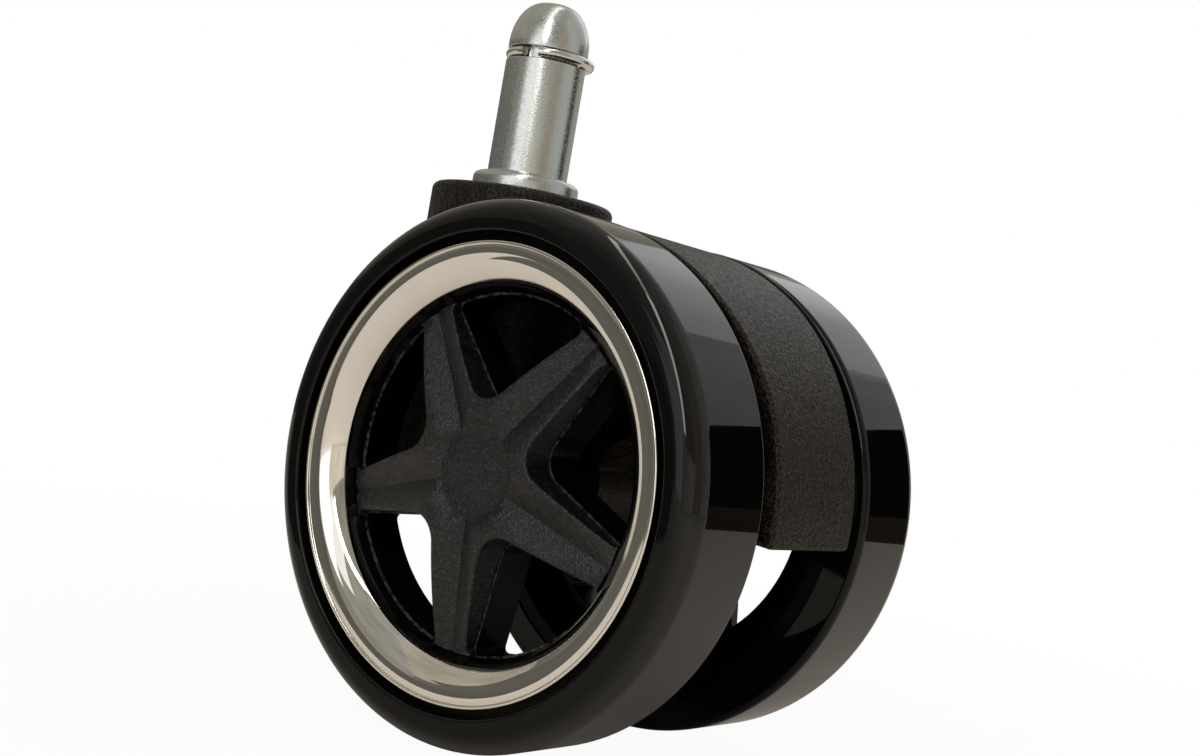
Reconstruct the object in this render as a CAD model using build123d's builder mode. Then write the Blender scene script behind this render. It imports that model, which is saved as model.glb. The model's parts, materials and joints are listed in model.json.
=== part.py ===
from build123d import *
from math import acos, asin, cos, degrees, radians, sin
import os

# Twin-wheel hooded castor with a friction-ring stem, in millimetres.
# The origin is on the stem's axis at the top face of its flange. +Z runs up the stem,
# +X from the stem towards the axle and the hood's tail, and the axle lies along Y.
# On a wheel, r is the radius from the axle and s the distance from the castor's mid-plane.

# Stem
stem_dia = 11.0
stem_length = 24.0  # flange to tip
nose_length = 6.7  # tip to grip groove
nose_straight = 0.8  # straight part of the nose above the groove
nose_flat_dia = 3.0
grip_groove_width = 1.6
grip_groove_depth = 1.15
flange_dia = 14.6
flange_thick = 2.3
flange_round = 0.9
flange_lower_round = 0.4
journal_dia = 9.0
journal_length = 26.0  # flange to lower end
journal_chamfer = 0.6

# Grip ring: split round wire, its gap towards the tail side of the left wheel
grip_wire_dia = 1.3
grip_ring_seat = 0.04  # wire above the groove's floor
grip_gap_angle = 24.0
grip_gap_middle = -77.0

# Swivel: flanged bush in the neck, spring ring on the journal's end
swivel_clearance = 0.05
swivel_gap = 0.2  # flange to neck
bush_wall = 1.65
bush_flange_width = 0.7
bush_flange_thick = 1.2
ring_groove_depth = 0.7
ring_groove_width = 1.2
ring_thick = 1.0
ring_width = 1.5
ring_nose = 1.6  # journal below the ring groove
ring_opening = 60.0
swivel_play = 0.2

# Housing
trail = 21.0  # stem axis to axle
neck_dia = 25.0
neck_rise = 3.5  # neck above the wheels
neck_round = 1.0
socket_end_room = 1.0
column_foot = 14.0  # column below the socket
hood_setback = 0.1  # hood below the tread
hood_wall = 2.6
hood_edge_round = 0.5
tail_corner_round = 0.8
column_round = 1.2
hood_gap = 1.4  # hood and column to each wheel
tail_gap = 2.7  # hood's narrower tail to each wheel
tail_angle = -4.5
flare_low = 14.0  # above the axle, where the hood starts to widen
flare_high = 26.0
flare_round = 25.0
tyre_clearance = 1.3  # neck to tread
web_thick = 4.0
web_start_angle = 14.0
web_end_angle = 165.0
rib_angles = (30.0, 62.0)
rib_thick = 2.0
rib_inset = 0.7
boss_dia = 14.0
boss_gap = 2.2  # boss end to the tyre's inner face

# Axle and wheel bearings
axle_dia = 8.0
axle_chamfer = 0.6
axle_clearance = 0.04
hub_bush_wall = 1.5
washer_thick = 0.8
washer_dia = 13.6
hub_play = 0.1
clip_thick = 0.9
clip_groove_width = 1.0
clip_groove_depth = 0.7
clip_width = 2.2
clip_opening = 80.0
clip_nose = 0.8  # axle beyond the clip

# Tyre
wheel_dia = 65.0
wheel_gap = 23.6  # between the tyres' inner faces
tyre_width = 14.3
tyre_thick = 4.2
tyre_shoulder = 3.0
tyre_inner_round = 0.9
tyre_lip_round = 0.4
key_width = 4.0  # rib round the rim that keys the tyre
key_height = 1.2

# Trim ring: rounded over towards the star, with a bead round its outer edge
trim_groove = 1.05  # dark groove between the tyre and the ring
trim_setback = 0.45  # bead behind the tyre's face
trim_width = 4.7
trim_drop = 2.4  # bead to inner edge
trim_bulge = 0.59
trim_bead = 0.5
trim_bead_rise = 0.25
trim_bead_round = 0.2
trim_edge = 0.5  # thickness at the inner edge
trim_skirt = 1.6  # thickness at the bead

# Rim
rim_setback = 0.3  # barrel behind the tyre's inner face
barrel_wall = 2.0
throat_width = 0.9  # trim ring to the windows
throat_drop = 2.25  # trim ring to the star's seat
hoop_depth = 3.4
spoke_depth = 5.5
hub_dia = 16.4
hub_cavity_dia = 13.2
clip_room = 3.0  # depth of the cavity over the axle's end

# Star cover
arm_count = 5
arm_phase = -20.0
right_turn = -22.0  # the right wheel stands this far round from the left wheel's arms
arm_hub_width = 8.0
arm_tip_width = 4.9
arm_hub_radius = 8.0
arm_tip_gap = 0.15
window_apex_round = 3.2
window_corner_round = 0.9
window_ledge = 0.25  # rim round each window beyond the star's edge
star_hub_rise = 4.3  # crest at the hub above the seat
star_tip_rise = 1.2
star_crown = 0.35
star_edge_round = 0.3
flute_hub_half = 2.4
flute_tip_half = 0.9
flute_hub_depth = 1.25
flute_tip_depth = 0.3
dish_dia = 10.4  # sunk flat in the middle of the hub
dish_slope = 1.6
spigot_depth = 0.8
spigot_clearance = 0.05
pad_width = 6.0
pad_setback = 0.15

# Radii and places that follow from the sizes above
stem_r = stem_dia / 2
flange_r = flange_dia / 2
nose_flat_r = nose_flat_dia / 2
groove_r = stem_r - grip_groove_depth
groove_top = stem_length - nose_length
groove_low = groove_top - grip_groove_width
nose_base = groove_top + nose_straight
journal_r = journal_dia / 2
journal_top = -flange_thick
journal_end = journal_top - journal_length
ring_groove_r = journal_r - ring_groove_depth
ring_groove_low = journal_end + ring_nose
ring_groove_top = ring_groove_low + ring_groove_width

bush_bore_r = journal_r + swivel_clearance
bush_r = bush_bore_r + bush_wall
bush_flange_r = bush_r + bush_flange_width
bush_end = ring_groove_top + swivel_play
socket_end = journal_end - socket_end_room
neck_top = journal_top - swivel_gap
column_end = socket_end - column_foot

wheel_r = wheel_dia / 2
wheel_inner = wheel_gap / 2
wheel_face = wheel_inner + tyre_width
axle_drop = flange_thick + swivel_gap + neck_rise + wheel_r
hood_r = wheel_r - hood_setback
hood_middle_r = hood_r - hood_wall / 2
hood_half = wheel_inner - hood_gap
tail_half = wheel_inner - tail_gap
hood_end_angle = degrees(acos(-trail / hood_r))
boss_half = wheel_inner - boss_gap

rim_r = wheel_r - tyre_thick
barrel_r = rim_r - barrel_wall
rim_back = wheel_inner + rim_setback
key_low = wheel_inner + (tyre_width - key_width) / 2
key_high = key_low + key_width
trim_r = rim_r - trim_groove
trim_inner_r = trim_r - trim_width
trim_front = wheel_face - trim_setback
trim_inner_front = trim_front - trim_drop
trim_back = trim_front - trim_skirt
trim_inner_back = trim_inner_front - trim_edge
window_r = trim_inner_r - throat_width
star_seat = trim_inner_front - throat_drop
hoop_back = star_seat - hoop_depth
spoke_back = star_seat - spoke_depth
star_hub = star_seat + star_hub_rise
star_tip = star_seat + star_tip_rise
star_r = window_r - arm_tip_gap
arm_angles = [arm_phase + 360 / arm_count * k for k in range(arm_count)]

axle_r = axle_dia / 2
hub_r = hub_dia / 2
cavity_r = hub_cavity_dia / 2
cavity_floor = star_seat - clip_room
hub_back = boss_half + washer_thick + hub_play
hub_bush_bore_r = axle_r + axle_clearance
hub_bush_r = hub_bush_bore_r + hub_bush_wall
clip_groove_low = cavity_floor + hub_play
clip_groove_high = clip_groove_low + clip_groove_width
clip_groove_r = axle_r - clip_groove_depth
axle_end = clip_groove_high + clip_nose

# Wheel planes: origin on the axle at the mid-plane, local z outwards along the axle
axle_middle = Vector(trail, 0, -axle_drop)
left_wheel = Plane(origin=axle_middle, x_dir=(1, 0, 0), z_dir=(0, -1, 0))
right_x = (-cos(radians(right_turn)), 0, sin(radians(right_turn)))
right_wheel = Plane(origin=axle_middle, x_dir=right_x, z_dir=(0, 1, 0))
sides = {"left": left_wheel, "right": right_wheel}
mid_plane = left_wheel


def spoke_direction(wheel, angle):
    return wheel.x_dir * cos(radians(angle)) + wheel.y_dir * sin(radians(angle))


def radial_section(wheel, angle=0.0):
    """Plane through the wheel's axis: local x is r and local y is s."""
    outwards = spoke_direction(wheel, angle)
    return Plane(origin=wheel.origin, x_dir=outwards, z_dir=outwards.cross(wheel.z_dir))


def across_arm(wheel, angle, radius):
    """Plane square to an arm at the given radius: local x is across the arm and local y is s."""
    outwards = spoke_direction(wheel, angle)
    return Plane(origin=wheel.origin + outwards * radius, x_dir=wheel.z_dir.cross(outwards), z_dir=outwards)


def wheel_axis(wheel):
    return Axis(wheel.origin, wheel.z_dir)


def corner(section, column, row):
    """One vertex of a section, picked by its column along local x and its row along local y."""
    return section.vertices().group_by(Axis.X)[column].sort_by(Axis.Y)[row]


def finish(builder, name):
    builder.part.label = name
    export_step(builder.part, f"parts/{name}.step")


os.makedirs("parts", exist_ok=True)

# One window between two arms, its bisector along local X
with BuildSketch() as window:
    half_step = 180 / arm_count
    edge_hub = Vector(arm_hub_radius, -arm_hub_width / 2).rotate(Axis.Z, half_step)
    edge_tip = Vector(window_r, -arm_tip_width / 2).rotate(Axis.Z, half_step)
    edge = edge_tip - edge_hub
    apex = edge_hub - edge * (edge_hub.Y / edge.Y)
    beyond = edge_tip + edge
    Polygon((apex.X, 0), (beyond.X, -beyond.Y), (beyond.X, beyond.Y), align=None)
    Circle(window_r, mode=Mode.INTERSECT)
    fillet(window.vertices().sort_by(Axis.X)[0], window_apex_round)
    fillet(window.vertices().sort_by(Axis.X)[-2:], window_corner_round)

with BuildSketch() as windows:
    with PolarLocations(0, arm_count, start_angle=arm_phase + half_step):
        add(window.sketch)


def open_ring(inner_r, width, opening):
    """Flat ring with a wedge-shaped opening towards local X."""
    Circle(inner_r + width)
    Circle(inner_r, mode=Mode.SUBTRACT)
    side = Vector(2 * (inner_r + width), 0).rotate(Axis.Z, opening / 2)
    Polygon((0, 0), (side.X, -side.Y), (side.X, side.Y), align=None, mode=Mode.SUBTRACT)


# Stem: turned in one piece, domed nose, grip groove, flange and swivel journal
with BuildPart() as stem:
    with BuildSketch(Plane.XZ) as stem_section:
        with BuildLine():
            dome = EllipticalCenterArc(
                (nose_flat_r, nose_base), stem_r - nose_flat_r, stem_length - nose_base, 0, arc_size=90
            )
            Polyline(
                dome @ 1,
                (0, stem_length),
                (0, journal_end),
                (journal_r - journal_chamfer, journal_end),
                (journal_r, journal_end + journal_chamfer),
                (journal_r, ring_groove_low),
                (ring_groove_r, ring_groove_low),
                (ring_groove_r, ring_groove_top),
                (journal_r, ring_groove_top),
                (journal_r, journal_top),
                (flange_r, journal_top),
                (flange_r, 0),
                (stem_r, 0),
                (stem_r, groove_low),
                (groove_r, groove_low),
                (groove_r, groove_top),
                (stem_r, groove_top),
                dome @ 0,
            )
        make_face()
        fillet(corner(stem_section, -1, -1), flange_round)
        fillet(corner(stem_section, -1, 0), flange_lower_round)
    revolve(axis=Axis.Z)
finish(stem, "stem")

# Grip ring: wire bent round the groove
with BuildPart() as grip_ring:
    wire_middle_r = groove_r + grip_ring_seat + grip_wire_dia / 2
    gap_edge = grip_gap_middle + grip_gap_angle / 2
    ring_start = Plane(
        origin=(0, 0, (groove_low + groove_top) / 2),
        x_dir=(cos(radians(gap_edge)), sin(radians(gap_edge)), 0),
        z_dir=(sin(radians(gap_edge)), -cos(radians(gap_edge)), 0),
    )
    with BuildSketch(ring_start):
        with Locations((wire_middle_r, 0)):
            Circle(grip_wire_dia / 2)
    revolve(axis=Axis.Z, revolution_arc=360 - grip_gap_angle)
finish(grip_ring, "grip_ring")

# Retaining ring: flat spring ring in the journal's lower groove
with BuildPart() as stem_retaining_ring:
    with BuildSketch(Plane.XY.offset(ring_groove_low + (ring_groove_width - ring_thick) / 2)):
        open_ring(ring_groove_r, ring_width, ring_opening)
    extrude(amount=ring_thick)
finish(stem_retaining_ring, "stem_retaining_ring")

# Swivel bush: its flange carries the stem's flange, a little proud of the neck
with BuildPart() as swivel_bush:
    with BuildSketch(Plane.XZ):
        Polygon(
            (bush_bore_r, bush_end),
            (bush_r, bush_end),
            (bush_r, journal_top - bush_flange_thick),
            (bush_flange_r, journal_top - bush_flange_thick),
            (bush_flange_r, journal_top),
            (bush_bore_r, journal_top),
            align=None,
        )
    revolve(axis=Axis.Z)
finish(swivel_bush, "swivel_bush")

# Housing: hood, neck and column, central web, ribs and axle boss in one moulding
with BuildPart() as housing:
    with BuildSketch(mid_plane):
        with BuildLine():
            outer_arc = CenterArc((0, 0), hood_r, tail_angle, hood_end_angle - tail_angle)
            inner_arc = CenterArc((0, 0), hood_r - hood_wall, tail_angle, hood_end_angle - tail_angle)
            Line(outer_arc @ 0, inner_arc @ 0)
            Line(outer_arc @ 1, inner_arc @ 1)
        make_face()
    extrude(amount=hood_half, both=True)
    with BuildSketch(Plane.YZ) as hood_outline:
        low, high = -axle_drop - wheel_r, -axle_drop + wheel_r
        narrow, wide = -axle_drop + flare_low, -axle_drop + flare_high
        half_outline = [(tail_half, low), (tail_half, narrow), (hood_half, wide), (hood_half, high)]
        Polygon(*half_outline, *[(-y, z) for y, z in reversed(half_outline)], align=None)
        fillet(hood_outline.vertices().sort_by(Axis.Y)[2:-2], flare_round)
    extrude(amount=trail + wheel_dia, both=True, mode=Mode.INTERSECT)
    tail_end = housing.faces().sort_by(Axis.Z)[0]
    fillet(tail_end.edges().sort_by(SortBy.LENGTH)[:2], tail_corner_round)
    hood_back = housing.faces().filter_by(GeomType.CYLINDER).sort_by(SortBy.AREA)[-1]
    fillet(hood_back.edges().sort_by(Axis.X)[1:], hood_edge_round)

    with BuildSketch(Plane.XY.offset(neck_top)):
        Circle(neck_dia / 2)
    extrude(amount=column_end - neck_top)
    fillet(housing.edges().group_by(Axis.Z)[-1], neck_round)
    for wheel in sides.values():
        with BuildSketch(wheel.offset(hood_half)):
            Circle(wheel_r + tyre_clearance)
        extrude(amount=neck_dia, mode=Mode.SUBTRACT)
    fillet(housing.faces().filter_by(Axis.Z).sort_by(Axis.Z)[0].edges(), column_round)

    with BuildSketch(mid_plane):
        with BuildLine():
            web_arc = CenterArc((0, 0), hood_middle_r, web_start_angle, web_end_angle - web_start_angle)
            Polyline(web_arc @ 1, (0, 0), web_arc @ 0)
        make_face()
    extrude(amount=web_thick / 2, both=True)
    for angle in rib_angles:
        with BuildSketch(radial_section(mid_plane, angle)):
            rib_half = tail_half - rib_inset
            rib_side = [(0, rib_half), (hood_middle_r, rib_half)]
            Polygon(*rib_side, *[(r, -s) for r, s in reversed(rib_side)], align=None)
        extrude(amount=rib_thick / 2, both=True)
    with BuildSketch(mid_plane):
        Circle(boss_dia / 2)
    extrude(amount=boss_half, both=True)

    with BuildSketch(mid_plane):
        Circle(axle_r)
    extrude(amount=boss_half, both=True, mode=Mode.SUBTRACT)
    with BuildSketch(Plane.XY.offset(neck_top)):
        Circle(bush_flange_r)
    extrude(amount=swivel_gap - bush_flange_thick, mode=Mode.SUBTRACT)
    with BuildSketch(Plane.XY.offset(neck_top)):
        Circle(bush_r)
    extrude(amount=socket_end - neck_top, mode=Mode.SUBTRACT)
finish(housing, "housing")

# Axle: pressed through the boss, a clip groove near each end
with BuildPart() as axle:
    with BuildSketch(mid_plane):
        Circle(axle_r)
    extrude(amount=axle_end, both=True)
    chamfer(axle.edges().filter_by(GeomType.CIRCLE), axle_chamfer)
    for wheel in sides.values():
        with BuildSketch(wheel.offset(clip_groove_low)):
            Circle(axle_r)
            Circle(clip_groove_r, mode=Mode.SUBTRACT)
        extrude(amount=clip_groove_width, mode=Mode.SUBTRACT)
finish(axle, "axle")

for side, wheel in sides.items():
    # Tyre: flat tread, broad outer shoulder, keyed on the rim by one rib
    with BuildPart() as tyre:
        with BuildSketch(radial_section(wheel)) as tyre_section:
            Polygon(
                (rim_r, wheel_inner),
                (wheel_r, wheel_inner),
                (wheel_r, wheel_face),
                (rim_r, wheel_face),
                (rim_r, key_high),
                (rim_r + key_height, key_high),
                (rim_r + key_height, key_low),
                (rim_r, key_low),
                align=None,
            )
            fillet(corner(tyre_section, -1, -1), tyre_shoulder)
            fillet(corner(tyre_section, -1, 0), tyre_inner_round)
            fillet(corner(tyre_section, 0, -1), tyre_lip_round)
        revolve(axis=wheel_axis(wheel))
    finish(tyre, f"{side}_tyre")

    # Rim: barrel under the tyre, hoop with the trim ring's seat, windowed web and hub
    with BuildPart() as rim:
        with BuildSketch(radial_section(wheel)):
            Polygon(
                (barrel_r, rim_back),
                (rim_r, rim_back),
                (rim_r, key_low),
                (rim_r + key_height, key_low),
                (rim_r + key_height, key_high),
                (rim_r, key_high),
                (rim_r, trim_back),
                (trim_r, trim_back),
                (trim_inner_r, trim_inner_back),
                (window_r, star_seat),
                (window_r, hoop_back),
                (barrel_r, hoop_back),
                align=None,
            )
            for outer_r, back in ((window_r, spoke_back), (hub_r, hub_back)):
                Polygon((0, back), (outer_r, back), (outer_r, star_seat), (0, star_seat), align=None)
        revolve(axis=wheel_axis(wheel))
        with BuildSketch(wheel.offset(spoke_back)):
            offset(windows.sketch, -window_ledge)
        extrude(amount=spoke_depth, mode=Mode.SUBTRACT)
        with BuildSketch(wheel.offset(hub_back)):
            Circle(hub_bush_r)
        extrude(amount=cavity_floor - hub_back, mode=Mode.SUBTRACT)
        with BuildSketch(wheel.offset(cavity_floor)):
            Circle(cavity_r)
        extrude(amount=clip_room, mode=Mode.SUBTRACT)
        pad_angle = 2 * degrees(asin(pad_width / 2 / window_r))
        for angle in arm_angles:
            with BuildSketch(radial_section(wheel, angle - pad_angle / 2)):
                Polygon(
                    (window_r, star_seat),
                    (trim_inner_r, trim_inner_back),
                    (trim_inner_r, trim_inner_front - pad_setback),
                    (window_r, star_tip),
                    align=None,
                )
            revolve(axis=wheel_axis(wheel), revolution_arc=pad_angle)
    finish(rim, f"{side}_rim")

    # Star cover: crowned five-arm cover, a V flute down each arm and a sunk flat at the hub
    with BuildPart() as star_cover:
        with BuildSketch(wheel.offset(star_seat)):
            Circle(star_r)
            add(windows.sketch, mode=Mode.SUBTRACT)
        extrude(amount=star_hub_rise + star_crown)
        with BuildSketch(radial_section(wheel)):
            with BuildLine():
                crown = SagittaArc((arm_hub_radius, star_hub), (star_r, star_tip), star_crown)
                Polyline(crown @ 1, (star_r, star_seat), (0, star_seat), (0, star_hub), crown @ 0)
            make_face()
        revolve(axis=wheel_axis(wheel), mode=Mode.INTERSECT)
        crown_face = star_cover.faces().filter_by(GeomType.PLANE, reverse=True).sort_by(SortBy.AREA)[-1]
        fillet(crown_face.edges().filter_by(GeomType.CIRCLE, reverse=True), star_edge_round)
        with BuildSketch(radial_section(wheel)):
            dish_r, dish_floor = dish_dia / 2, star_hub - flute_hub_depth
            slope_r = dish_r + dish_slope
            Polygon((0, dish_floor), (dish_r, dish_floor), (slope_r, star_hub), (0, star_hub), align=None)
        revolve(axis=wheel_axis(wheel), mode=Mode.SUBTRACT)
        for angle in arm_angles:
            for radius, crest, half, depth in (
                (dish_r, star_hub, flute_hub_half, flute_hub_depth),
                (window_r, star_tip, flute_tip_half, flute_tip_depth),
            ):
                with BuildSketch(across_arm(wheel, angle, radius)):
                    # the V's sides run on as far above the crest as the flute lies below it
                    v_top, v_half = crest + depth, 2 * half
                    Polygon((0, crest - depth), (v_half, v_top), (-v_half, v_top), align=None)
            loft(ruled=True, mode=Mode.SUBTRACT)
        with BuildSketch(wheel.offset(star_seat)):
            Circle(cavity_r - spigot_clearance)
        extrude(amount=-spigot_depth)
    finish(star_cover, f"{side}_star_cover")

    # Trim ring: thin rounded ring seated on the hoop
    with BuildPart() as trim_ring:
        with BuildSketch(radial_section(wheel)) as trim_section:
            with BuildLine():
                bead_foot = (trim_r - trim_bead, trim_front - trim_bead_rise)
                face = SagittaArc((trim_inner_r, trim_inner_front), bead_foot, trim_bulge)
                Polyline(
                    face @ 1,
                    (trim_r - trim_bead, trim_front),
                    (trim_r, trim_front),
                    (trim_r, trim_back),
                    (trim_inner_r, trim_inner_back),
                    face @ 0,
                )
            make_face()
            fillet(trim_section.vertices().group_by(Axis.Y)[-1], trim_bead_round)
        revolve(axis=wheel_axis(wheel))
    finish(trim_ring, f"{side}_trim_ring")

    # Hub bush: pressed in the hub, turns on the axle
    with BuildPart() as hub_bush:
        with BuildSketch(wheel.offset(hub_back)):
            Circle(hub_bush_r)
            Circle(hub_bush_bore_r, mode=Mode.SUBTRACT)
        extrude(amount=cavity_floor - hub_back)
    finish(hub_bush, f"{side}_hub_bush")

    # Spacer washer between the housing's boss and the hub
    with BuildPart() as spacer_washer:
        with BuildSketch(wheel.offset(boss_half)):
            Circle(washer_dia / 2)
            Circle(axle_r, mode=Mode.SUBTRACT)
        extrude(amount=washer_thick)
    finish(spacer_washer, f"{side}_spacer_washer")

    # Axle clip: open snap ring in the axle's groove
    with BuildPart() as axle_clip:
        with BuildSketch(wheel.offset(clip_groove_low + (clip_groove_width - clip_thick) / 2)):
            open_ring(clip_groove_r, clip_width, clip_opening)
        extrude(amount=clip_thick)
    finish(axle_clip, f"{side}_axle_clip")
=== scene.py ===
import json
from math import asin, cos, pi, radians, sin

import bpy
from mathutils import Matrix, Vector


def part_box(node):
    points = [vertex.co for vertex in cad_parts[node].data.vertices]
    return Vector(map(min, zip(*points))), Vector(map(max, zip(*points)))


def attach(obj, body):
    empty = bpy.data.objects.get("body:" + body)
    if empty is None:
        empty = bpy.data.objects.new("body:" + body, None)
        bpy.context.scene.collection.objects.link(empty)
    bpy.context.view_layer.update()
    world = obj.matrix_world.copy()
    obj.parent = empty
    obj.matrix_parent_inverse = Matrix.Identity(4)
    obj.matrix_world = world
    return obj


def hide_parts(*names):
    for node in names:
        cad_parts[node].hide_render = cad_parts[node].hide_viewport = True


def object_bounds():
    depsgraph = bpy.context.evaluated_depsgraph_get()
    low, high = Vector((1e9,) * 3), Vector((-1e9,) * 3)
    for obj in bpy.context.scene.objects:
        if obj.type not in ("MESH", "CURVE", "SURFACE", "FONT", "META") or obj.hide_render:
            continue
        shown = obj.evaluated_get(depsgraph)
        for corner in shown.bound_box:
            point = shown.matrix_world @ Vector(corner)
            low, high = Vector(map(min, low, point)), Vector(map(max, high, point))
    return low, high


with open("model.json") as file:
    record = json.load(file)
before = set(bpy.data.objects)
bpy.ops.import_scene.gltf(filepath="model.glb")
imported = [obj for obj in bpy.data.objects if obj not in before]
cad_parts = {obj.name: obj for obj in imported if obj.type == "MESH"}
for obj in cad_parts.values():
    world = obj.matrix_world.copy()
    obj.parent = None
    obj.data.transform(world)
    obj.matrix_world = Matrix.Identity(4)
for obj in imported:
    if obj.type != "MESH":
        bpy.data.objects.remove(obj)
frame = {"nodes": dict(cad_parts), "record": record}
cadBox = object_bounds()
mm = 0.001
mergeGap = 0.001 * mm  # points nearer than this become one
pickGap = 0.01 * mm  # how near a point lies to the place it is picked by
axleLine = (0, 1, 0)
stemLine = (0, 0, 1)
print("frame loaded with", len(frame["nodes"]), "nodes")

# the left wheel's place and size come from its tyre; r is the distance from the axle, s from the mid-plane
tyreLow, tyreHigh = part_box("left_tyre")
axle = Vector(((tyreLow.x + tyreHigh.x) / 2, 0, (tyreLow.z + tyreHigh.z) / 2))
treadRadius = (tyreHigh.x - tyreLow.x) / 2 / mm
tyreFace = -tyreLow.y / mm
tyreInner = -tyreHigh.y / mm
tyreMiddle = (tyreInner + tyreFace) / 2
rightTurn = radians(22)  # the right wheel's arms stand this much further round


def onWheel(r, s):
    return Vector((axle.x + r * mm, -s * mm, axle.z))


def onStem(r, z):
    return Vector((r * mm, 0, z * mm))


def pickOnly(piece):
    bpy.ops.object.select_all(action="DESELECT")
    piece.select_set(True)
    bpy.context.view_layer.objects.active = piece


def selectWhere(piece, test):
    bpy.ops.mesh.select_all(action="DESELECT")
    bpy.ops.object.mode_set(mode="OBJECT")
    for vertex in piece.data.vertices:
        vertex.select = test(vertex.co)
    bpy.ops.object.mode_set(mode="EDIT")


def drawOutline(name, corners, place, roundSteps):
    # a plane is merged to one point and extruded from corner to corner, then the corners are rounded
    points = [place(a, b) for a, b, rounding in corners]
    bpy.ops.object.select_all(action="DESELECT")
    bpy.ops.mesh.primitive_plane_add(size=mm, location=points[0])
    piece = bpy.context.object
    piece.name = piece.data.name = name
    bpy.ops.object.transform_apply(location=True, rotation=False, scale=False)
    bpy.ops.object.mode_set(mode="EDIT")
    bpy.ops.mesh.select_mode(type="VERT")
    bpy.ops.mesh.select_all(action="SELECT")
    bpy.ops.mesh.merge(type="CENTER")
    for here, there in zip(points, points[1:]):
        bpy.ops.mesh.extrude_region_move(TRANSFORM_OT_translate={"value": there - here})
    bpy.ops.mesh.select_all(action="SELECT")
    bpy.ops.mesh.remove_doubles(threshold=mergeGap)  # closes an outline that ends where it began
    for point, (a, b, rounding) in zip(points, corners):
        if rounding:
            selectWhere(piece, lambda spot: (spot - point).length < pickGap)
            bpy.ops.mesh.bevel(offset=rounding * mm, segments=roundSteps, affect="VERTICES",
                               clamp_overlap=False)
    return piece


def turnRound(piece, centre, axis, steps, angle=2 * pi):
    bpy.ops.object.mode_set(mode="EDIT")
    bpy.ops.mesh.select_all(action="SELECT")
    bpy.ops.mesh.spin(steps=steps, angle=-angle, center=centre, axis=axis)  # spin goes clockwise
    bpy.ops.mesh.select_all(action="SELECT")
    bpy.ops.mesh.remove_doubles(threshold=mergeGap)
    bpy.ops.mesh.normals_make_consistent(inside=False)
    bpy.ops.object.mode_set(mode="OBJECT")


def weighNormals(piece):
    # flat faces keep their own shading beside small rounds
    bpy.ops.object.modifier_add(type="WEIGHTED_NORMAL")
    piece.modifiers[-1].keep_sharp = True
    bpy.ops.object.modifier_apply(modifier=piece.modifiers[-1].name)


def shadeSmooth(piece, sharpAngle):
    pickOnly(piece)
    bpy.ops.object.shade_smooth_by_angle(angle=radians(sharpAngle))
    weighNormals(piece)


def copyNode(nodeName, name):
    # a node is loose triangles, so its copy is merged before it is shaded
    piece = bpy.data.objects.new(name, frame["nodes"][nodeName].data.copy())
    piece.data.name = name
    bpy.context.scene.collection.objects.link(piece)
    pickOnly(piece)
    bpy.ops.object.mode_set(mode="EDIT")
    bpy.ops.mesh.select_mode(type="VERT")
    bpy.ops.mesh.select_all(action="SELECT")
    bpy.ops.mesh.remove_doubles(threshold=mergeGap)
    bpy.ops.object.mode_set(mode="OBJECT")
    return piece


def copyAcross(piece, name):
    # the right wheel is the left one turned half round about the upright line through the axle's middle,
    # and its arms stand a little further round on the axle
    pickOnly(piece)
    bpy.ops.object.duplicate(linked=False)
    other = bpy.context.object
    other.name = other.data.name = name
    bpy.ops.transform.rotate(value=pi, orient_axis="Z", orient_type="GLOBAL", center_override=axle)
    bpy.ops.transform.rotate(value=rightTurn, orient_axis="Y", orient_type="GLOBAL", center_override=axle)
    bpy.ops.object.transform_apply(location=True, rotation=True, scale=True)
    return other


# tyre: one band with a broad outer shoulder and a groove inside for the rim's key
tyreSet = {"bandThick": 4.2, "shoulder": 3.0, "innerRound": 0.9, "lipRound": 0.4,
           "keyWidth": 4.0, "keyHeight": 1.2, "roundSteps": 12, "steps": 192, "sharpAngle": 40}


def modelTyre():
    seat = treadRadius - tyreSet["bandThick"]
    keyTop = seat + tyreSet["keyHeight"]
    keyLow = tyreMiddle - tyreSet["keyWidth"] / 2
    keyHigh = tyreMiddle + tyreSet["keyWidth"] / 2
    corners = [(seat, tyreInner, 0), (treadRadius, tyreInner, tyreSet["innerRound"]),
               (treadRadius, tyreFace, tyreSet["shoulder"]), (seat, tyreFace, tyreSet["lipRound"]),
               (seat, keyHigh, 0), (keyTop, keyHigh, 0), (keyTop, keyLow, 0), (seat, keyLow, 0),
               (seat, tyreInner, 0)]
    piece = drawOutline("left_tyre_band", corners, onWheel, tyreSet["roundSteps"])
    turnRound(piece, axle, axleLine, tyreSet["steps"])
    shadeSmooth(piece, tyreSet["sharpAngle"])
    return piece


# trim ring: rounded over towards the star, with a bead round its outer edge
trimSet = {"width": 4.7, "drop": 2.4, "bulge": 0.59, "bead": 0.5, "beadRise": 0.25, "beadRound": 0.2,
           "edgeThick": 0.5, "skirt": 1.6, "edgeRound": 0.12,
           "faceSteps": 24, "roundSteps": 8, "steps": 256, "sharpAngle": 40}


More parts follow.
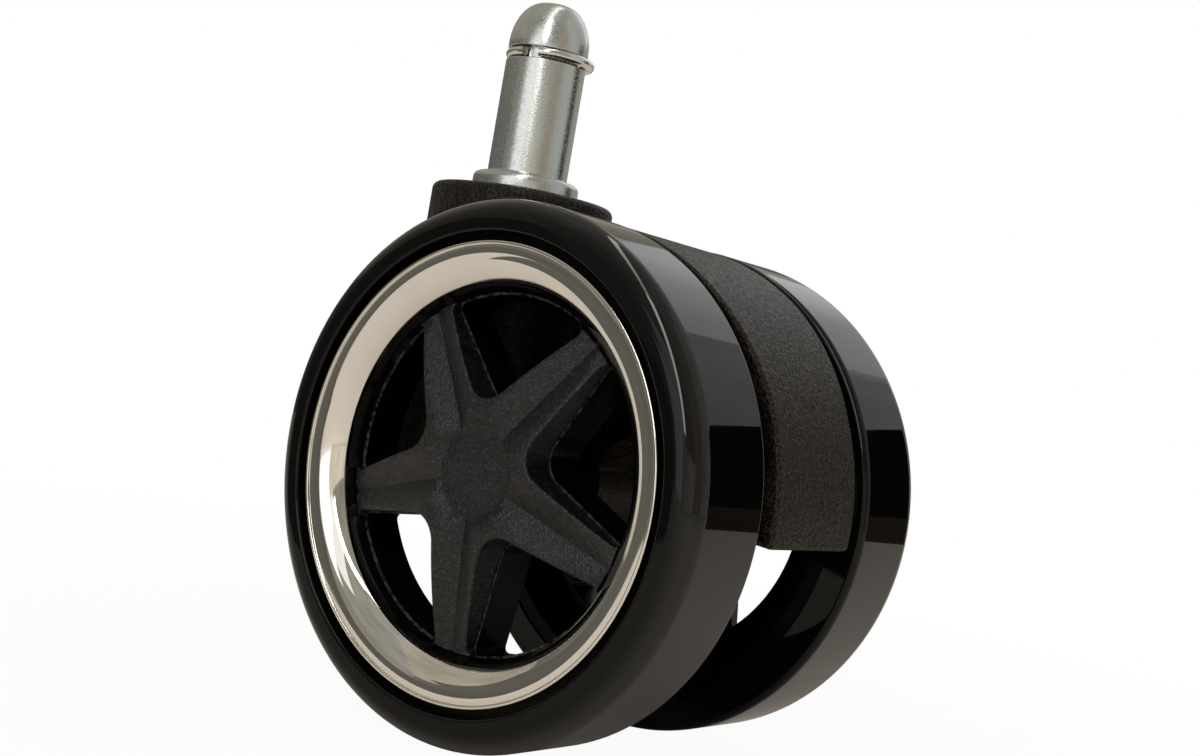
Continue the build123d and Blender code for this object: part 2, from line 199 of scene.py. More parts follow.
def modelTrimRing():
    low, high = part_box("left_trim_ring")
    outer, front = (high.x - low.x) / 2 / mm, -low.y / mm
    inner, innerFront = outer - trimSet["width"], front - trimSet["drop"]
    footR, footS = outer - trimSet["bead"], front - trimSet["beadRise"]
    chord = Vector((footR - inner, footS - innerFront))
    half = chord.length / 2
    along = chord.normalized()
    out = Vector((-along.y, along.x))
    bend = (half ** 2 + trimSet["bulge"] ** 2) / 2 / trimSet["bulge"]
    corners = [(inner, innerFront, trimSet["edgeRound"])]
    for step in range(1, trimSet["faceSteps"]):  # an arc from the inner edge to the bead's foot
        turn = asin(half / bend) * (2 * step / trimSet["faceSteps"] - 1)
        spot = along * (half + bend * sin(turn)) + out * (bend * cos(turn) - bend + trimSet["bulge"])
        corners.append((inner + spot.x, innerFront + spot.y, 0))
    corners += [(footR, footS, 0), (footR, front, trimSet["beadRound"]),
                (outer, front, trimSet["beadRound"]), (outer, front - trimSet["skirt"], 0),
                (inner, innerFront - trimSet["edgeThick"], 0), (inner, innerFront, 0)]
    piece = drawOutline("left_trim_face", corners, onWheel, trimSet["roundSteps"])
    turnRound(piece, axle, axleLine, trimSet["steps"])
    shadeSmooth(piece, trimSet["sharpAngle"])
    return piece


# stem: nose, grip groove, shank, flange and swivel journal turned in one
stemSet = {"shank": 5.5, "noseLength": 6.7, "noseStraight": 0.8, "noseFlat": 1.5, "noseSteps": 20,
           "grooveWidth": 1.6, "groove": 4.35, "grooveRound": 0.12, "rootRound": 0.3,
           "flangeThick": 2.3, "flangeRound": 0.9, "flangeLowerRound": 0.4,
           "journal": 4.5, "journalChamfer": 0.6, "ringNose": 1.6, "ringWidth": 1.2, "ringGroove": 3.8,
           "roundSteps": 8, "steps": 160, "sharpAngle": 40}


def modelStem():
    low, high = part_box("stem")
    tip, end, flange = high.z / mm, low.z / mm, high.x / mm
    shank, groove, journal = stemSet["shank"], stemSet["groove"], stemSet["journal"]
    grooveRound, ringGroove = stemSet["grooveRound"], stemSet["ringGroove"]
    flangeLow = -stemSet["flangeThick"]
    grooveTop = tip - stemSet["noseLength"]
    grooveLow = grooveTop - stemSet["grooveWidth"]
    noseBase = grooveTop + stemSet["noseStraight"]
    ringLow = end + stemSet["ringNose"]
    ringTop = ringLow + stemSet["ringWidth"]
    corners = [(0, tip, 0)]
    for step in range(stemSet["noseSteps"], -1, -1):  # a quarter of an ellipse from the flat tip to the shank
        turn = pi / 2 * step / stemSet["noseSteps"]
        corners.append((stemSet["noseFlat"] + (shank - stemSet["noseFlat"]) * cos(turn),
                        noseBase + (tip - noseBase) * sin(turn), 0))
    corners += [(shank, grooveTop, grooveRound), (groove, grooveTop, grooveRound),
                (groove, grooveLow, grooveRound), (shank, grooveLow, grooveRound),
                (shank, 0, stemSet["rootRound"]), (flange, 0, stemSet["flangeRound"]),
                (flange, flangeLow, stemSet["flangeLowerRound"]), (journal, flangeLow, 0),
                (journal, ringTop, 0), (ringGroove, ringTop, 0), (ringGroove, ringLow, 0),
                (journal, ringLow, 0), (journal, end, stemSet["journalChamfer"]), (0, end, 0)]
    piece = drawOutline("stem_turned", corners, onStem, stemSet["roundSteps"])
    turnRound(piece, (0, 0, 0), stemLine, stemSet["steps"])
    shadeSmooth(piece, stemSet["sharpAngle"])
    return piece


# grip ring: split wire, free of the socket, so it springs out of the groove on one side
gripSet = {"wire": 0.65, "bend": 5.475, "springOut": 0.475, "springAngle": 42, "gapFrom": -89, "gapTo": -66,
           "wireSteps": 24, "steps": 120, "sharpAngle": 40}


def modelGripRing():
    low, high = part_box("grip_ring")
    height = (low.z + high.z) / 2
    out = Vector((cos(radians(gripSet["springAngle"])), sin(radians(gripSet["springAngle"])), 0))
    centre = out * gripSet["springOut"] * mm + Vector((0, 0, height))
    start = radians(gripSet["gapTo"])
    sweep = radians(360 - gripSet["gapTo"] + gripSet["gapFrom"])
    firstEnd = centre + gripSet["bend"] * mm * Vector((cos(start), sin(start), 0))
    bpy.ops.object.select_all(action="DESELECT")
    bpy.ops.mesh.primitive_circle_add(vertices=gripSet["wireSteps"], radius=gripSet["wire"] * mm,
                                      fill_type="NGON", location=firstEnd, rotation=(pi / 2, 0, start))
    piece = bpy.context.object
    piece.name = piece.data.name = "grip_ring_wire"
    bpy.ops.object.transform_apply(location=True, rotation=True, scale=True)
    turnRound(piece, centre, stemLine, gripSet["steps"], sweep)
    shadeSmooth(piece, gripSet["sharpAngle"])
    return piece


# rim: the moulded core, its window edges eased
rimSet = {"windowEase": 0.12, "easeSteps": 3, "starSeat": 21.0, "windowReach": 21.5, "hubReach": 8.4,
          "flatAngle": 0.5, "sharpAngle": 30}


def modelRim():
    piece = copyNode("left_rim", "left_rim_core")
    bpy.ops.object.mode_set(mode="EDIT")
    bpy.ops.mesh.select_all(action="SELECT")
    bpy.ops.mesh.dissolve_limited(angle_limit=radians(rimSet["flatAngle"]))
    seat = -rimSet["starSeat"] * mm

    def onWindowEdge(spot):
        radius = (spot - axle).xz.length / mm
        return abs(spot.y - seat) < pickGap and rimSet["hubReach"] < radius < rimSet["windowReach"]

    selectWhere(piece, onWindowEdge)
    bpy.ops.mesh.bevel(offset=rimSet["windowEase"] * mm, segments=rimSet["easeSteps"], affect="EDGES")
    bpy.ops.object.mode_set(mode="OBJECT")
    shadeSmooth(piece, rimSet["sharpAngle"])
    return piece


# star: crisp flutes, but the sunk hub runs softly into the arms
starSet = {"creaseAngle": 15, "dishReach": 7.2}


def modelStar():
    piece = copyNode("left_star_cover", "left_star_arms")
    bpy.ops.object.shade_smooth_by_angle(angle=radians(starSet["creaseAngle"]))
    bpy.ops.object.mode_set(mode="EDIT")
    selectWhere(piece, lambda spot: (spot - axle).xz.length < starSet["dishReach"] * mm)
    bpy.ops.mesh.mark_sharp(clear=True)
    bpy.ops.object.mode_set(mode="OBJECT")
    weighNormals(piece)
    return piece


# housing: neck, hood and boss in one moulding, smooth over its small rounds
housingSet = {"sharpAngle": 30}


def modelHousing():
    piece = copyNode("housing", "housing_moulding")
    shadeSmooth(piece, housingSet["sharpAngle"])
    return piece


pieces = {"stem": modelStem(), "grip_ring": modelGripRing(), "housing": modelHousing()}
wheelModels = {"tyre": modelTyre, "trim_ring": modelTrimRing, "rim": modelRim, "star_cover": modelStar}
for part, model in wheelModels.items():
    left = model()
    pieces["left_" + part] = left
    pieces["right_" + part] = copyAcross(left, left.name.replace("left", "right"))
print("modelled", len(pieces), "pieces")


def hexColour(text):
    # sRGB to linear
    channels = [int(text[i:i + 2], 16) / 255 for i in (1, 3, 5)]
    linear = [c / 12.92 if c <= 0.04045 else ((c + 0.055) / 1.055) ** 2.4 for c in channels]
    return (*linear, 1.0)


def addNode(material, kind, inputs=None, **settings):
    node = material.node_tree.nodes.new(kind)
    for name, value in settings.items():
        setattr(node, name, value)
    for socket, value in (inputs or {}).items():
        if isinstance(value, bpy.types.NodeSocket):
            material.node_tree.links.new(value, node.inputs[socket])
        else:
            node.inputs[socket].default_value = value
    return node


def startMaterial(name):
    material = bpy.data.materials.new(name)
    material.use_nodes = True
    material.node_tree.nodes.clear()
    place = addNode(material, "ShaderNodeTexCoord").outputs["Object"]
    return material, place


def perMetre(size):
    return 1 / (size * mm)  # pattern scale for a feature of this many millimetres


# cast polyurethane: a wet-looking black skin, slightly wavy from the mould, with faint handling smears
tyreFinish = {"black": "#060605", "dust": "#0d0c0b", "wave": 9.0, "waveHeight": 0.03, "smear": 14.0,
              "glossLow": 0.02, "glossHigh": 0.07, "treadSheen": 0.5, "sideSheen": 0.2, "sideWidth": 1.0}


def castPolyurethane():
    material, place = startMaterial("cast_polyurethane_black")
    smear = addNode(material, "ShaderNodeTexNoise", {
        "Vector": place, "Scale": perMetre(tyreFinish["smear"]),
        "Detail": 4.0, "Roughness": 0.6}).outputs["Fac"]
    colour = addNode(material, "ShaderNodeMix", {
        "Factor": smear, "A": hexColour(tyreFinish["black"]),
        "B": hexColour(tyreFinish["dust"])}, data_type="RGBA").outputs["Result"]
    gloss = addNode(material, "ShaderNodeMapRange", {
        "Value": smear, "From Min": 0.3, "From Max": 0.7,
        "To Min": tyreFinish["glossLow"], "To Max": tyreFinish["glossHigh"]}).outputs["Result"]
    # the side faces are duller than the tread
    half = (tyreFace - tyreInner) / 2
    across = addNode(material, "ShaderNodeSeparateXYZ", {"Vector": place}).outputs["Y"]
    across = addNode(material, "ShaderNodeMath", {0: across}, operation="ABSOLUTE").outputs["Value"]
    off = addNode(material, "ShaderNodeMath", {
        0: across, 1: tyreMiddle * mm}, operation="SUBTRACT").outputs["Value"]
    off = addNode(material, "ShaderNodeMath", {0: off}, operation="ABSOLUTE").outputs["Value"]
    sheen = addNode(material, "ShaderNodeMapRange", {
        "Value": off, "From Min": (half - tyreFinish["sideWidth"]) * mm, "From Max": half * mm,
        "To Min": tyreFinish["treadSheen"], "To Max": tyreFinish["sideSheen"]}).outputs["Result"]
    wave = addNode(material, "ShaderNodeTexNoise", {
        "Vector": place, "Scale": perMetre(tyreFinish["wave"]), "Detail": 1.0}).outputs["Fac"]
    bump = addNode(material, "ShaderNodeBump", {
        "Height": wave, "Strength": 0.3, "Distance": tyreFinish["waveHeight"] * mm}).outputs["Normal"]
    shader = addNode(material, "ShaderNodeBsdfPrincipled", {
        "Base Color": colour, "Roughness": gloss, "IOR": 1.5, "Specular IOR Level": sheen, "Normal": bump})
    addNode(material, "ShaderNodeOutputMaterial", {"Surface": shader.outputs["BSDF"]})
    return material


# polished nylon: the rim's smooth moulded black, a little softer than the tyre
# the pale window-edge line is partly burrs and partly a painted highlight
rimFinish = {"black": "#030303", "haze": "#070707", "cloud": 6.0, "glossLow": 0.18, "glossHigh": 0.3,
             "sheen": 0.06, "burrAndHighlight": "#4c4b48", "burrAndHighlightWidth": 0.11, "burrAndHighlightBreak": 0.8}


def polishedNylon():
    material, place = startMaterial("polished_nylon_black")
    cloud = addNode(material, "ShaderNodeTexNoise", {
        "Vector": place, "Scale": perMetre(rimFinish["cloud"]), "Detail": 3.0}).outputs["Fac"]
    colour = addNode(material, "ShaderNodeMix", {
        "Factor": cloud, "A": hexColour(rimFinish["black"]),
        "B": hexColour(rimFinish["haze"])}, data_type="RGBA").outputs["Result"]
    # a broken pale line along the window edges, at the star's seat on both wheels: partly burrs, partly a
    # painted highlight of the eased edge
    across = addNode(material, "ShaderNodeSeparateXYZ", {"Vector": place}).outputs["Y"]
    across = addNode(material, "ShaderNodeMath", {0: across}, operation="ABSOLUTE").outputs["Value"]
    band = addNode(material, "ShaderNodeMath", {
        0: across, 1: rimSet["starSeat"] * mm, 2: rimFinish["burrAndHighlightWidth"] * mm},
        operation="COMPARE").outputs["Value"]
    breaks = addNode(material, "ShaderNodeTexNoise", {
        "Vector": place, "Scale": perMetre(rimFinish["burrAndHighlightBreak"]),
        "Detail": 3.0, "Roughness": 0.7}).outputs["Fac"]
    brokenLine = addNode(material, "ShaderNodeMapRange", {
        "Value": breaks, "From Min": 0.4, "From Max": 0.65}).outputs["Result"]
    burrAndHighlight = addNode(material, "ShaderNodeMath", {0: band, 1: brokenLine}, operation="MULTIPLY").outputs["Value"]
    colour = addNode(material, "ShaderNodeMix", {
        "Factor": burrAndHighlight, "A": colour, "B": hexColour(rimFinish["burrAndHighlight"])}, data_type="RGBA").outputs["Result"]
    gloss = addNode(material, "ShaderNodeMapRange", {
        "Value": cloud, "From Min": 0.3, "From Max": 0.7,
        "To Min": rimFinish["glossLow"], "To Max": rimFinish["glossHigh"]}).outputs["Result"]
    shader = addNode(material, "ShaderNodeBsdfPrincipled", {
        "Base Color": colour, "Roughness": gloss, "IOR": 1.53, "Specular IOR Level": rimFinish["sheen"]})
    addNode(material, "ShaderNodeOutputMaterial", {"Surface": shader.outputs["BSDF"]})
    return material


# spark-textured nylon: the hood's even moulded grain, its grey-brown glints where light rakes it painted in
# as specks, drawn a little coarser than life so that it shows
hoodFinish = {"dark": "#050403", "light": "#2f281d", "grain": 0.45, "fine": 0.3, "grainHeight": 0.1,
              "roughLow": 0.32, "roughHigh": 0.5, "sheen": 0.17}


def texturedNylon():
    material, place = startMaterial("spark_textured_nylon_black")
    grain = addNode(material, "ShaderNodeTexNoise", {
        "Vector": place, "Scale": perMetre(hoodFinish["grain"]),
        "Detail": 2.0, "Roughness": 0.55}).outputs["Fac"]
    fine = addNode(material, "ShaderNodeTexVoronoi", {
        "Vector": place, "Scale": perMetre(hoodFinish["fine"])}, feature="F1").outputs["Distance"]
    height = addNode(material, "ShaderNodeMath", {0: grain, 1: fine}, operation="ADD").outputs["Value"]
    # grey-brown specks on the grain's crests: painted glints
    paintedGlint = addNode(material, "ShaderNodeMapRange", {
        "Value": height, "From Min": 0.85, "From Max": 1.2}).outputs["Result"]
    colour = addNode(material, "ShaderNodeMix", {
        "Factor": paintedGlint, "A": hexColour(hoodFinish["dark"]),
        "B": hexColour(hoodFinish["light"])}, data_type="RGBA").outputs["Result"]
    rough = addNode(material, "ShaderNodeMapRange", {
        "Value": grain, "From Min": 0.35, "From Max": 0.65,
        "To Min": hoodFinish["roughHigh"], "To Max": hoodFinish["roughLow"]}).outputs["Result"]
    bump = addNode(material, "ShaderNodeBump", {
        "Height": height, "Strength": 0.8, "Distance": hoodFinish["grainHeight"] * mm}).outputs["Normal"]
    shader = addNode(material, "ShaderNodeBsdfPrincipled", {
        "Base Color": colour, "Roughness": rough, "IOR": 1.53,
        "Specular IOR Level": hoodFinish["sheen"], "Normal": bump})
    addNode(material, "ShaderNodeOutputMaterial", {"Surface": shader.outputs["BSDF"]})
    return material


# matte ABS: the star's dry charcoal, with grains that glint where light rakes the arms and a few painted pale
# as glints, drawn a little coarser than life so that they show
starFinish = {"dark": "#040404", "light": "#0f0f11", "glint": "#323235", "cloud": 0.5, "grain": 0.22,
              "grainHeight": 0.1, "rough": 0.36, "sheen": 0.46}


def matteAbs():
    material, place = startMaterial("matte_moulded_abs_charcoal")
    cloud = addNode(material, "ShaderNodeTexNoise", {
        "Vector": place, "Scale": perMetre(starFinish["cloud"]),
        "Detail": 2.0, "Roughness": 0.7}).outputs["Fac"]
    grains = addNode(material, "ShaderNodeTexVoronoi", {
        "Vector": place, "Scale": perMetre(starFinish["grain"])}, feature="F1")
    lot = addNode(material, "ShaderNodeSeparateColor", {"Color": grains.outputs["Color"]}).outputs["Red"]
    spread = addNode(material, "ShaderNodeMapRange", {
        "Value": cloud, "From Min": 0.3, "From Max": 0.7}).outputs["Result"]
    colour = addNode(material, "ShaderNodeMix", {
        "Factor": spread, "A": hexColour(starFinish["dark"]),
        "B": hexColour(starFinish["light"])}, data_type="RGBA").outputs["Result"]
    # a few grains painted pale: painted glints
    few = addNode(material, "ShaderNodeMapRange", {
        "Value": lot, "From Min": 0.7, "From Max": 1.0}).outputs["Result"]
    colour = addNode(material, "ShaderNodeMix", {
        "Factor": few, "A": colour, "B": hexColour(starFinish["glint"])}, data_type="RGBA").outputs["Result"]
    height = addNode(material, "ShaderNodeMath", {
        0: grains.outputs["Distance"], 1: cloud}, operation="ADD").outputs["Value"]
    bump = addNode(material, "ShaderNodeBump", {
        "Height": height, "Strength": 0.7, "Distance": starFinish["grainHeight"] * mm}).outputs["Normal"]
    shader = addNode(material, "ShaderNodeBsdfPrincipled", {
        "Base Color": colour, "Roughness": starFinish["rough"], "IOR": 1.5,
        "Specular IOR Level": starFinish["sheen"], "Normal": bump})
    addNode(material, "ShaderNodeOutputMaterial", {"Surface": shader.outputs["BSDF"]})
    return material


# chrome plate: mirror bright, with the slightest haze from handling
chromeFinish = {"bright": "#f2efe8", "haze": "#e8e4db", "smear": 8.0, "glossLow": 0.02, "glossHigh": 0.07}


def chromePlate():
    material, place = startMaterial("chrome_plated_abs")
    smear = addNode(material, "ShaderNodeTexNoise", {
        "Vector": place, "Scale": perMetre(chromeFinish["smear"]), "Detail": 3.0}).outputs["Fac"]
    colour = addNode(material, "ShaderNodeMix", {
        "Factor": smear, "A": hexColour(chromeFinish["bright"]),
        "B": hexColour(chromeFinish["haze"])}, data_type="RGBA").outputs["Result"]
    gloss = addNode(material, "ShaderNodeMapRange", {
        "Value": smear, "From Min": 0.35, "From Max": 0.65,
        "To Min": chromeFinish["glossLow"], "To Max": chromeFinish["glossHigh"]}).outputs["Result"]
    shader = addNode(material, "ShaderNodeBsdfPrincipled", {
        "Base Color": colour, "Metallic": 1.0, "Roughness": gloss})
    addNode(material, "ShaderNodeOutputMaterial", {"Surface": shader.outputs["BSDF"]})
    return material


# bright zinc plate: satin steel whose crystals break up the highlight, cool with warm patches,
# the crystals drawn coarser than life so that they show
zincFinish = {"cool": "#d0d9dc", "warm": "#cdcac4", "cloud": 4.0, "crystal": 0.3, "crystalHeight": 0.02,
              "glossLow": 0.17, "glossHigh": 0.36}


def zincPlate():
    material, place = startMaterial("bright_zinc_plated_steel")
    cloud = addNode(material, "ShaderNodeTexNoise", {
        "Vector": place, "Scale": perMetre(zincFinish["cloud"]), "Detail": 3.0}).outputs["Fac"]
    crystal = addNode(material, "ShaderNodeTexNoise", {
        "Vector": place, "Scale": perMetre(zincFinish["crystal"]),
        "Detail": 3.0, "Roughness": 0.65}).outputs["Fac"]
    colour = addNode(material, "ShaderNodeMix", {
        "Factor": cloud, "A": hexColour(zincFinish["cool"]),
        "B": hexColour(zincFinish["warm"])}, data_type="RGBA").outputs["Result"]
    gloss = addNode(material, "ShaderNodeMapRange", {
        "Value": crystal, "From Min": 0.35, "From Max": 0.65,
        "To Min": zincFinish["glossLow"], "To Max": zincFinish["glossHigh"]}).outputs["Result"]
    bump = addNode(material, "ShaderNodeBump", {
        "Height": crystal, "Strength": 0.5, "Distance": zincFinish["crystalHeight"] * mm}).outputs["Normal"]
    shader = addNode(material, "ShaderNodeBsdfPrincipled", {
        "Base Color": colour, "Metallic": 1.0, "Roughness": gloss, "Normal": bump})
    addNode(material, "ShaderNodeOutputMaterial", {"Surface": shader.outputs["BSDF"]})
    return material


# drawn spring wire and ground axle steel: smooth metal with fine lines along the draw or the grind,
# drawn coarser than life so that they show
lineSet = {"size": 0.25, "stretch": 12.0}
springFinish = {"bright": "#eceae4", "dull": "#dad7cf", "glossLow": 0.10, "glossHigh": 0.2}
axleFinish = {"bright": "#b9b8b4", "dull": "#9f9d98", "glossLow": 0.2, "glossHigh": 0.34}


def drawnSteel(name, finish):
    material, place = startMaterial(name)
    along = addNode(material, "ShaderNodeMapping", {
        "Vector": place, "Scale": (1, 1 / lineSet["stretch"], 1)}).outputs["Vector"]
    lines = addNode(material, "ShaderNodeTexNoise", {
        "Vector": along, "Scale": perMetre(lineSet["size"]), "Detail": 2.0}).outputs["Fac"]
    colour = addNode(material, "ShaderNodeMix", {
        "Factor": lines, "A": hexColour(finish["bright"]),
        "B": hexColour(finish["dull"])}, data_type="RGBA").outputs["Result"]
    gloss = addNode(material, "ShaderNodeMapRange", {
        "Value": lines, "From Min": 0.35, "From Max": 0.65,
        "To Min": finish["glossLow"], "To Max": finish["glossHigh"]}).outputs["Result"]
    shader = addNode(material, "ShaderNodeBsdfPrincipled", {
        "Base Color": colour, "Metallic": 1.0, "Roughness": gloss})
    addNode(material, "ShaderNodeOutputMaterial", {"Surface": shader.outputs["BSDF"]})
    return material


# moulded acetal: the bushes' waxy off-white
acetalFinish = {"pale": "#d8d3c6", "shade": "#c6c0b2", "cloud": 2.0, "rough": 0.38}


def mouldedAcetal():
    material, place = startMaterial("moulded_acetal_natural")
    cloud = addNode(material, "ShaderNodeTexNoise", {
        "Vector": place, "Scale": perMetre(acetalFinish["cloud"]), "Detail": 2.0}).outputs["Fac"]
    colour = addNode(material, "ShaderNodeMix", {
        "Factor": cloud, "A": hexColour(acetalFinish["pale"]),
        "B": hexColour(acetalFinish["shade"])}, data_type="RGBA").outputs["Result"]
    shader = addNode(material, "ShaderNodeBsdfPrincipled", {
        "Base Color": colour, "Roughness": acetalFinish["rough"], "IOR": 1.48})
    addNode(material, "ShaderNodeOutputMaterial", {"Surface": shader.outputs["BSDF"]})
    return material


finishes = {"polyurethane": castPolyurethane(), "gloss_nylon": polishedNylon(),
            "textured_nylon": texturedNylon(), "matte_cover": matteAbs(),
            "chrome_trim": chromePlate(), "zinc_plated_steel": zincPlate(),
            "spring_steel": drawnSteel("spring_wire_zinc", springFinish),
            "axle_steel": drawnSteel("ground_axle_steel", axleFinish),
            "acetal": mouldedAcetal()}
slotOf = {part["node"]: part["material_slot"] for part in frame["record"]["subparts"]}
bodyOf = {node: body for body, nodes in frame["record"]["behaviour"]["bodies"].items() for node in nodes}
for node, obj in frame["nodes"].items():
    piece = pieces.get(node)
    for shown in (obj, piece):
        if shown:
            shown.data.materials.clear()
            shown.data.materials.append(finishes[slotOf[node]])
    if piece:
        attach(piece, bodyOf[node])
        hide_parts(node)
print("finishes on", len(slotOf), "nodes")


# studio: pale floor, soft lamps, dark flags and pale cards that only reflections see
middle = (cadBox[0] + cadBox[1]) / 2
plainWhite = (1, 1, 1, 1)


def fromMiddle(azimuth, elevation, distance):
    # azimuth is counted from +X towards +Y
    flat = cos(radians(elevation))
    outward = Vector((flat * cos(radians(azimuth)), flat * sin(radians(azimuth)), sin(radians(elevation))))
    return middle + distance * outward


def facing(place):
    return (middle - place).to_track_quat("-Z", "Y").to_euler()


# lamps: a tall strip and a faint window to the camera's left, a tube and a broad one overhead, and one behind
lamps = {"strip": {"azimuth": -64, "elevation": 37, "distance": 0.7,
                   "width": 0.08, "height": 0.58, "watts": 1.0, "colour": "#fffdf9"},
         "tube": {"azimuth": -64, "elevation": 88, "distance": 0.75,
                  "width": 0.06, "height": 0.85, "watts": 0.55, "colour": "#fff8ec"},
         "window": {"azimuth": -89, "elevation": 6, "distance": 0.7,
                    "width": 0.36, "height": 0.3, "watts": 0.12, "colour": "#ffffff"},
         "overhead": {"azimuth": -120, "elevation": 66, "distance": 0.75,
                      "width": 0.8, "height": 0.8, "watts": 0.6, "colour": "#ffffff"},
         "back": {"azimuth": 100, "elevation": 33, "distance": 0.8,
                  "width": 0.48, "height": 0.42, "watts": 0.22, "colour": "#f8f8f8"}}
for name, lamp in lamps.items():
    place = fromMiddle(lamp["azimuth"], lamp["elevation"], lamp["distance"])
    bpy.ops.object.light_add(type="AREA", location=place, rotation=facing(place))
    light = bpy.context.object
    light.name = light.data.name = name + "_softbox"
    light.data.shape = "RECTANGLE"
    light.data.size, light.data.size_y = lamp["width"], lamp["height"]
    light.data.energy = lamp["watts"]
    light.data.color = hexColour(lamp["colour"])[:3]
    light.visible_glossy = name != "overhead"  # the ceiling card stands for it in reflections

# cards: the dark and grey parts of the room, bent round the castor and there for reflections alone,
# all at the same distance but for three low ones close by
cardSet = {"distance": 0.95, "steps": 24, "cloud": 220.0, "dim": 0.82, "bright": 1.14}
cards = {"left_wall": {"azimuth": (118, 232), "elevation": (-6, 14), "colour": "#6a6964"},
         "left_high": {"azimuth": (118, 232), "elevation": (14, 60), "colour": "#a9a496"},
         "front_left": {"azimuth": (-128, -103), "elevation": (-6, 18), "colour": "#918d85"},
         "window_head": {"azimuth": (-128, -95), "elevation": (18, 60), "colour": "#9a988f"},
         "window_top": {"azimuth": (-95, -66), "elevation": (34, 60), "colour": "#9a988f"},
         "front_right": {"azimuth": (-75, -26), "elevation": (-6, 12), "colour": "#dad3c5"},
         "front_high": {"azimuth": (-66, -26), "elevation": (12, 60), "colour": "#908d85"},
         "right_wall": {"azimuth": (-26, 6), "elevation": (-6, 60), "colour": "#a59a8b"},
         "right_blind": {"azimuth": (6, 48), "elevation": (-6, 60), "colour": "#bcbcb6"},
         "blind_edge": {"azimuth": (48, 56), "elevation": (18.5, 60), "colour": "#bcbcb6"},
         "dark_door": {"azimuth": (48, 70), "elevation": (-4, 18.5), "colour": "#000000"},
         "back_side": {"azimuth": (56, 80), "elevation": (18.5, 60), "colour": "#b9b9b9"},
         "back_window": {"azimuth": (80, 118), "elevation": (18.5, 60), "colour": "#cbcbcb"},
         "back_low": {"azimuth": (70, 118), "elevation": (-6, 18.5), "colour": "#a8a49c"},
         "ceiling": {"azimuth": (0, 360), "elevation": (60, 89), "colour": "#a6a4a0"},
         "low_flag": {"azimuth": (-152, -127), "elevation": (-18, 4), "colour": "#5f5d58", "distance": 0.14},
         "front_flag": {"azimuth": (-150, -108), "elevation": (-9, 2), "colour": "#5c5a55", "distance": 0.3},
         "door_foot": {"azimuth": (46, 72), "elevation": (-8.5, -2.5), "colour": "#453c33", "distance": 0.32}}
for name, card in cards.items():
    (first, last), (low, high) = card["azimuth"], card["elevation"]
    distance = card.get("distance", cardSet["distance"])
    piece = drawOutline(name, [(first, low, 0)],
                        lambda azimuth, elevation: fromMiddle(azimuth, elevation, distance), 1)
    levelLine = (sin(radians(first)), -cos(radians(first)), 0)
    turnRound(piece, middle, levelLine, cardSet["steps"], radians(high - low))
    turnRound(piece, middle, stemLine, cardSet["steps"], radians(last - first))
    piece.visible_camera = piece.visible_diffuse = piece.visible_shadow = False
    material, place = startMaterial(name + "_card")
    cloud = addNode(material, "ShaderNodeTexNoise", {
        "Vector": place, "Scale": perMetre(cardSet["cloud"])}).outputs["Fac"]
    strength = addNode(material, "ShaderNodeMapRange", {
        "Value": cloud, "From Min": 0.3, "From Max": 0.7,
        "To Min": cardSet["dim"], "To Max": cardSet["bright"]}).outputs["Result"]
    shader = addNode(material, "ShaderNodeEmission", {
        "Color": hexColour(card["colour"]), "Strength": strength})
    addNode(material, "ShaderNodeOutputMaterial", {"Surface": shader.outputs["Emission"]})
    piece.data.materials.append(material)

# floor: pale paint that takes the shadow, and plain white to the camera away from the castor
floorSet = {"size": 3.0, "drop": 0.05, "white": "#f1e8dc", "glow": 0.95, "nearFrom": 60.0, "nearTo": 220.0}
floorPlace = (middle.x, middle.y, cadBox[0].z - floorSet["drop"] * mm)
bpy.ops.mesh.primitive_plane_add(size=floorSet["size"], location=floorPlace)
floor = bpy.context.object
floor.name = floor.data.name = "floor"
material, place = startMaterial("pale_studio_floor")
path = addNode(material, "ShaderNodeLightPath")
paint = addNode(material, "ShaderNodeBsdfDiffuse", {"Color": hexColour(floorSet["white"])})
white = addNode(material, "ShaderNodeEmission", {"Color": plainWhite, "Strength": 1.0})
away = addNode(material, "ShaderNodeVectorMath", {0: place}, operation="LENGTH").outputs["Value"]
glow = addNode(material, "ShaderNodeMapRange", {
    "Value": away, "From Min": floorSet["nearFrom"] * mm, "From Max": floorSet["nearTo"] * mm,
    "To Min": floorSet["glow"], "To Max": 1.0}, interpolation_type="SMOOTHSTEP").outputs["Result"]
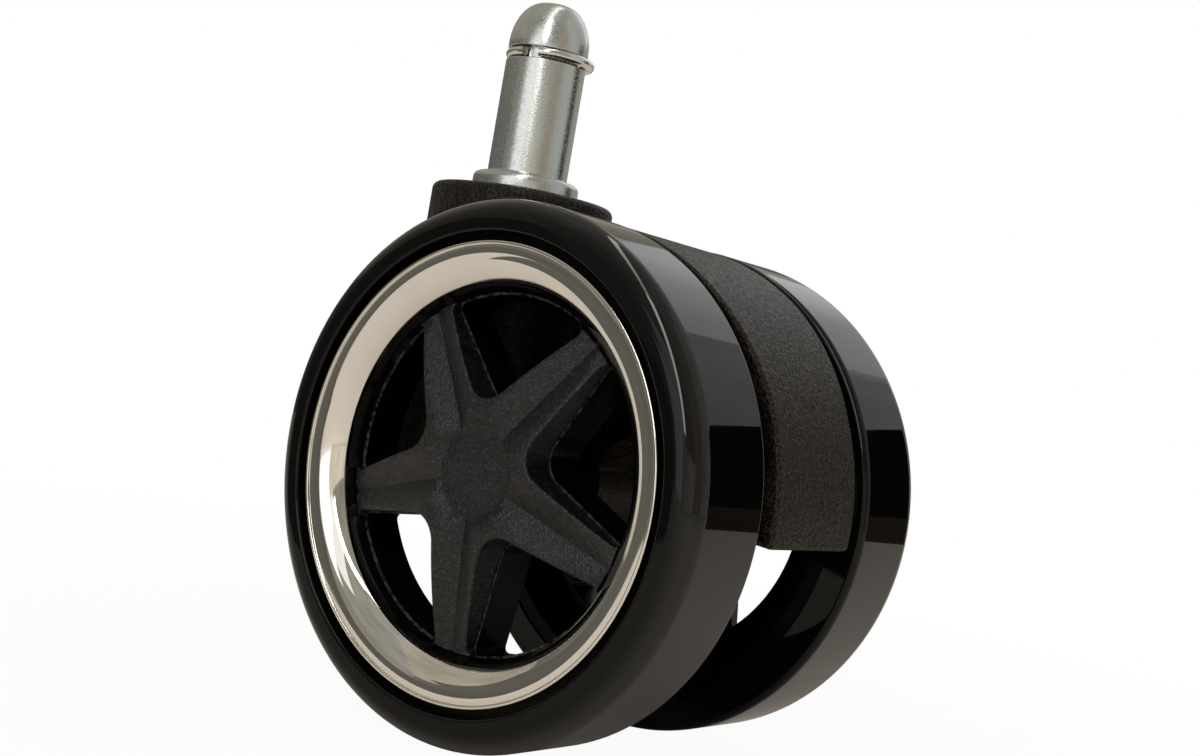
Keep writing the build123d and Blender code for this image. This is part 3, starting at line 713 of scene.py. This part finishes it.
share = addNode(material, "ShaderNodeMath", {
    0: path.outputs["Is Camera Ray"], 1: glow}, operation="MULTIPLY").outputs["Value"]
shader = addNode(material, "ShaderNodeMixShader", {
    "Fac": share, 1: paint.outputs["BSDF"], 2: white.outputs["Emission"]})
addNode(material, "ShaderNodeOutputMaterial", {"Surface": shader.outputs["Shader"]})
floor.data.materials.append(material)

# world: white to the camera and in reflections, a weak fill for everything else
worldSet = {"white": 1.0, "fill": 0.45}
world = bpy.data.worlds.new("white_studio")
world.use_nodes = True
world.node_tree.nodes.clear()
path = addNode(world, "ShaderNodeLightPath")
seen = path.outputs["Is Camera Ray"]
for ray in ("Is Glossy Ray", "Is Transmission Ray"):
    seen = addNode(world, "ShaderNodeMath", {
        0: seen, 1: path.outputs[ray]}, operation="MAXIMUM").outputs["Value"]
strength = addNode(world, "ShaderNodeMapRange", {
    "Value": seen, "To Min": worldSet["fill"], "To Max": worldSet["white"]}).outputs["Result"]
sky = addNode(world, "ShaderNodeBackground", {"Color": plainWhite, "Strength": strength})
addNode(world, "ShaderNodeOutputWorld", {"Surface": sky.outputs["Background"]})
bpy.context.scene.world = world
print("studio set")

# camera at the photograph's angle, its place in millimetres
cameraSet = {"azimuth": 37.804, "elevation": 0.24, "roll": 9.667, "place": (142.68, -160.21, -24.41),
             "lens": 46.68, "sensor": 36.0, "nearest": 0.01}
turn, tilt, roll = (radians(cameraSet[name]) for name in ("azimuth", "elevation", "roll"))
back = Vector((sin(turn) * cos(tilt), -cos(turn) * cos(tilt), sin(tilt)))
level = Vector(stemLine).cross(back).normalized()
upright = back.cross(level)
right = cos(roll) * level + sin(roll) * upright
up = cos(roll) * upright - sin(roll) * level
turned = Matrix((right, up, back)).transposed().to_4x4()
bpy.ops.object.camera_add()
camera = bpy.context.object
camera.matrix_world = Matrix.Translation(Vector(cameraSet["place"]) * mm) @ turned
camera.data.sensor_width = cameraSet["sensor"]
camera.data.lens = cameraSet["lens"]
camera.data.clip_start = cameraSet["nearest"]
bpy.context.scene.camera = camera
bpy.context.scene.view_settings.view_transform = "Standard"
print("camera set")
